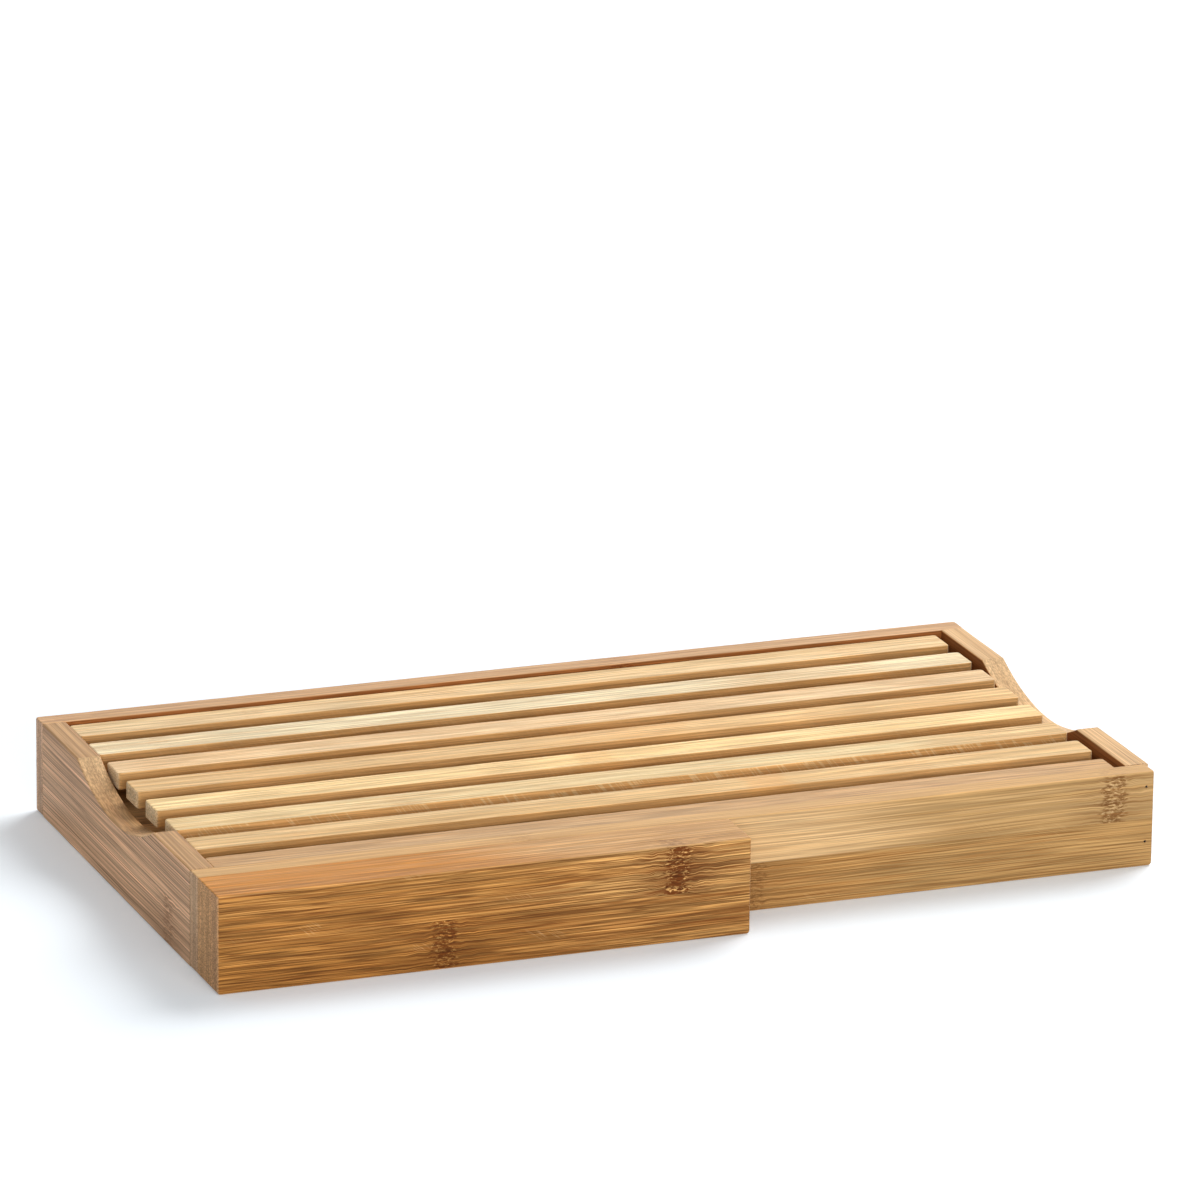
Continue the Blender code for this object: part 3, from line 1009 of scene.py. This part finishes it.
def holes_bm(nails):
    """Pin holes around the named nails, which lie along Y."""
    bm = bmesh.new()
    for name in nails:
        low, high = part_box(name)
        matrix = Matrix.Translation((low + high) / 2) @ Matrix.Rotation(math.pi / 2, 4, "X")
        bmesh.ops.create_cone(
            bm, cap_ends=True, segments=hole_sides, radius1=nail_hole_radius, radius2=nail_hole_radius,
            depth=high.y - low.y + 2 * overrun, matrix=matrix,
        )
    return bm


# Boards, block and grid


def build_rails(strip):
    """The front and back rails, with the strips of their bamboo as wide as given."""
    ends = foot_and_top_rounds
    low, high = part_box("front_rail")
    front = Board("rail_front_wood", low, high, X, board_rounds, board_round, ends, seed=1.0)
    wood = bamboo(
        "front_rail", RAIL, (X, Z, Y), low, seed=3.0, strip=strip, layer=board_layer,
        nodes=(0.029, 0.190, 0.262), inside=1,
        even_strength=0.6, odd_strength=0.85, even_streaks=0.6, odd_streaks=0.24, hairlines=0.25, grain=0.7,
        stain_place=0.20, stain_reach=0.15, stain_strength=0.9, scuffs=0.15,
    )
    front_piece = front.build(wood, "frame", "front_rail")
    low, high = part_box("back_rail")
    back = Board("rail_back_wood", low, high, X, board_rounds, back_corner_round, ends, seed=2.0)
    wood = bamboo(
        "back_rail", BACK, (X, Z, Y), low, seed=5.0, strip=strip, layer=board_layer,
        nodes=(-0.1, 0.05, 0.25), inside=-1, even_streaks=0.6, odd_streaks=0.5,
    )
    return [front_piece, back.build(wood, "frame", "back_rail")]


def build_side(node, name, tones, shape_seed, wood_seed, strip, inside, streaks, hairlines):
    """One side board, which butts against both rails."""
    low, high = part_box(node)
    low = Vector((low.x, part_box("front_rail")[1].y + seam, low.z))
    high = Vector((high.x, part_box("back_rail")[0].y - seam, high.z))
    side = Board(
        name, low, high, Y, board_rounds, 0.0, (0.0, 0.0), shape_seed, square_ends=(0, 1), top=Scoop(node)
    )
    wood = bamboo(
        node, tones, (Y, Z, X), low, seed=wood_seed, strip=strip, layer=board_layer,
        nodes=(-0.058, 0.07, 0.26), inside=inside, end_turn=(0.08, 0.55),
        even_strength=0.8, odd_strength=0.1, even_streaks=streaks, odd_streaks=streaks,
        hairlines=hairlines, grain=0.35,
    )
    return side.build(wood, "frame", node)


def build_boards():
    """The frame's four boards, with the crumb floor's groove and the nails' holes."""
    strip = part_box("front_rail")[1].z / 2
    pieces = build_rails(strip)
    pieces.append(build_side(
        "left_side_board", "side_left_wood", SIDE, 3.0, 7.0, strip, inside=1, streaks=0.68, hairlines=0.45
    ))
    pieces.append(build_side(
        "right_side_board", "side_right_wood", RIGHT, 4.0, 11.0, strip, inside=-1, streaks=0.4, hairlines=0.2
    ))
    groove_low, groove_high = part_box("crumb_floor")
    gap = Vector((groove_gap,) * 3)
    nails = [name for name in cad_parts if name.startswith("nail_")]
    for piece in pieces:
        cut_away(piece, box_bm(groove_low - gap, groove_high + gap), "groove")
        cut_away(piece, holes_bm(nails), "holes")


def build_block():
    """The knife block's two laminations, closed up to each other and to the front rail."""
    cover_low, cover_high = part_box("knife_block_cover")
    core_low, core_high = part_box("knife_block_core")
    height = core_high.z
    cover_high = Vector((cover_high.x, core_low.y - seam, cover_high.z))
    core_high = Vector((core_high.x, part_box("front_rail")[0].y - seam, core_high.z))
    rounds = (board_round, 0.0, 0.0, board_round)
    ends = foot_and_top_rounds
    cover = Board(
        "block_cover_wood", cover_low, cover_high, X, rounds, board_round, ends, seed=6.0, sides=(1, 0)
    )
    wood = bamboo(
        "block_cover", BLOCK, (X, Z, Y), cover_low, seed=11.0, strip=height / 2, layer=cover_layer,
        nodes=(-0.114, -0.014, 0.30),
        even_strength=1.0, odd_strength=1.4, even_streaks=0.85, odd_streaks=0.85, hairlines=0.5,
        # The stretch at the left is partly painted warm shade on the top
        stain_place=-0.21, stain_reach=0.19, stain_strength=0.85, scuffs=0.3,
    )
    cover.build(wood, "frame", "knife_block_cover")
    rounds = (0.0,) * 4
    core = Board("block_core_wood", core_low, core_high, X, rounds, board_round, ends, seed=7.0, sides=(0, 0))
    wood = bamboo(
        "block_core", CORE, (X, Z, Y), core_low, seed=13.0, strip=height / 2, layer=board_layer,
        nodes=(-0.05, -0.02, 0.30),
        even_strength=0.4, odd_strength=0.4, even_streaks=0.8, odd_streaks=0.8,
        # The stretch at the left is partly painted warm shade on the top
        stain_place=-0.21, stain_reach=0.15, stain_strength=0.95,
    )
    piece = core.build(wood, "frame", "knife_block_core")
    slot_low = (height - slot_height) / 2
    low = (core_high.x - slot_length, core_low.y - overrun, slot_low)
    high = (core_high.x + overrun, core_low.y + slot_depth, slot_low + slot_height)
    cut_away(piece, box_bm(low, high), "slot")


def build_slat(number, pale, deep, stain, light, saw_marks):
    """One slat of the grid, which is cut from its strips at a place of its own."""
    node = f"slat_{number}"
    index = number - 1
    low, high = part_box(node)
    edges = (slat_end, slat_end)
    slat = Board(node + "_wood", low, high, X, (slat_edge,) * 4, slat_corner, edges, seed=10.0 + index)
    start = (low.x, low.y - slat_shift * (index % 3), low.z)
    flank = [[light * part for part in tone] for tone in SLAT["flank"]]
    tones = {**SLAT, "even": (pale, deep), "flank": flank}
    wood = bamboo(
        node, tones, (X, Y, Z), start, seed=20.0 + 3 * index, strip=wide_strip, layer=slat_layer,
        nodes=(first_slat_node + slat_node_step * index, 0.1, 0.27),
        even_strength=0.2, odd_strength=0.2, even_streaks=0.45, odd_streaks=0.45, hairlines=0.12,
        saw_marks=saw_marks, stain_place=stain[0], stain_reach=stain[1], stain_strength=stain[2],
    )
    slat.build(wood, "grid", node)


def build_batten(index, node):
    """One batten under the slats."""
    low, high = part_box(node)
    edges = (batten_edge, batten_edge)
    batten = Board(node + "_wood", low, high, Y, (batten_edge,) * 4, batten_edge, edges, seed=30.0 + index)
    wood = bamboo(
        node, FLOOR, (Y, Z, X), low, seed=50.0 + index, strip=batten_strip, layer=batten_layer,
        nodes=(0.0, 0.08, 0.25),
    )
    batten.build(wood, "grid", node)


def build_grid():
    """Slats and battens."""
    for number, (pale, deep, stain, light) in enumerate(SLATS, start=1):
        saw_marks = 1.0 if number == sawn_slat else slight_saw_marks
        build_slat(number, pale, deep, stain, light, saw_marks)
    for index, node in enumerate(("batten_left", "batten_middle", "batten_right")):
        build_batten(index, node)


def dress_cad_nodes():
    """Better materials for the CAD nodes that stay."""
    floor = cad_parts["crumb_floor"]
    floor.data.materials.clear()
    wood = bamboo(
        "crumb_floor", FLOOR, (X, Y, Z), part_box("crumb_floor")[0], seed=60.0, strip=wide_strip,
        layer=floor_layer, nodes=(0.0, 0.1, 0.25), even_streaks=0.5,
    )
    floor.data.materials.append(wood)
    wire = steel()
    for name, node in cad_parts.items():
        if name.startswith(("nail_", "brad_")):
            node.data.materials.clear()
            node.data.materials.append(wire)


# Camera, light and floor


def add_camera():
    """The photograph's camera: the block's front left bottom corner falls on corner_pixel."""
    turn = Matrix.Rotation(-camera_yaw, 3, "Z")
    turn = turn @ Matrix.Rotation(math.pi / 2 - camera_pitch, 3, "X") @ Matrix.Rotation(camera_roll, 3, "Z")
    right, up, back = turn.col
    half = photo_width / 2
    pixel = camera_distance / camera_focal_pixels
    aside = (corner_pixel[0] - half) * pixel
    over = (half - corner_pixel[1]) * pixel
    corner = Vector((*cad_box[0][:2], 0.0))
    place = corner - aside * right - over * up + camera_distance * back
    data = bpy.data.cameras.new("photo_camera")
    data.sensor_width = sensor_width
    data.lens = camera_focal_pixels * sensor_width / photo_width
    camera = bpy.data.objects.new("photo_camera", data)
    camera.matrix_world = Matrix.Translation(place) @ turn.to_4x4()
    bpy.context.collection.objects.link(camera)
    bpy.context.scene.camera = camera


def add_softbox(name, place, size, power, tint):
    """A soft rectangular lamp that looks at the middle of the board."""
    data = bpy.data.lights.new(name, "AREA")
    data.shape = "RECTANGLE"
    data.size, data.size_y = size
    data.energy = power
    data.color = tint
    lamp = bpy.data.objects.new(name, data)
    turn = (-Vector(place)).to_track_quat("-Z", "Y").to_matrix().to_4x4()
    lamp.matrix_world = Matrix.Translation(place) @ turn
    bpy.context.collection.objects.link(lamp)


def add_world():
    """A white surround that is seen as plain white, and that lights the wood gently."""
    world = bpy.data.worlds.new("studio")
    bpy.context.scene.world = world
    world.use_nodes = True
    t = Tree(world.node_tree)
    background = world.node_tree.nodes["Background"]
    strength = t.math("MULTIPLY_ADD", seen_ray(t), 1.0 - surround_strength, surround_strength)
    t.put(strength, background.inputs["Strength"])
    background.inputs["Color"].default_value = white


def floor_material():
    """A matt surface that keeps a soft shadow, and is lifted a little where it is seen."""
    material, t, shader = new_material("studio_floor")
    t.tree.nodes.remove(shader)
    matt = t.add("ShaderNodeBsdfDiffuse")
    matt.inputs["Color"].default_value = colour(floor_tint)
    glow = t.add("ShaderNodeEmission")
    glow.inputs["Color"].default_value = white
    t.put(t.times(seen_ray(t), floor_lift), glow.inputs["Strength"])
    both = t.add("ShaderNodeAddShader")
    t.put(matt.outputs[0], both.inputs[0])
    t.put(glow.outputs[0], both.inputs[1])
    t.put(both.outputs[0], t.tree.nodes["Material Output"].inputs["Surface"])
    return material


def add_floor():
    """A large pale floor that throws light back up."""
    bm = bmesh.new()
    bmesh.ops.create_grid(bm, x_segments=1, y_segments=1, size=floor_half)
    floor = add_object("studio_floor", bm)
    floor.location.z = -floor_gap
    floor.data.materials.append(floor_material())


def add_studio():
    """The surround, the floor, a soft key from the right and behind, and weak fills."""
    add_world()
    add_floor()
    add_softbox("key_lamp", place=(1.7, 1.1, 2.1), size=(1.7, 1.7), power=82.0, tint=lamp_tint)
    add_softbox("front_lamp", place=(-0.2, -1.95, 0.50), size=(1.4, 0.6), power=27.0, tint=lamp_tint)
    add_softbox("back_panel", place=(0.65, 1.7, 0.55), size=(1.6, 0.7), power=5.0, tint=panel_tint)


add_camera()
build_boards()
build_block()
build_grid()
dress_cad_nodes()
add_studio()
bpy.context.scene.view_settings.view_transform = "Standard"
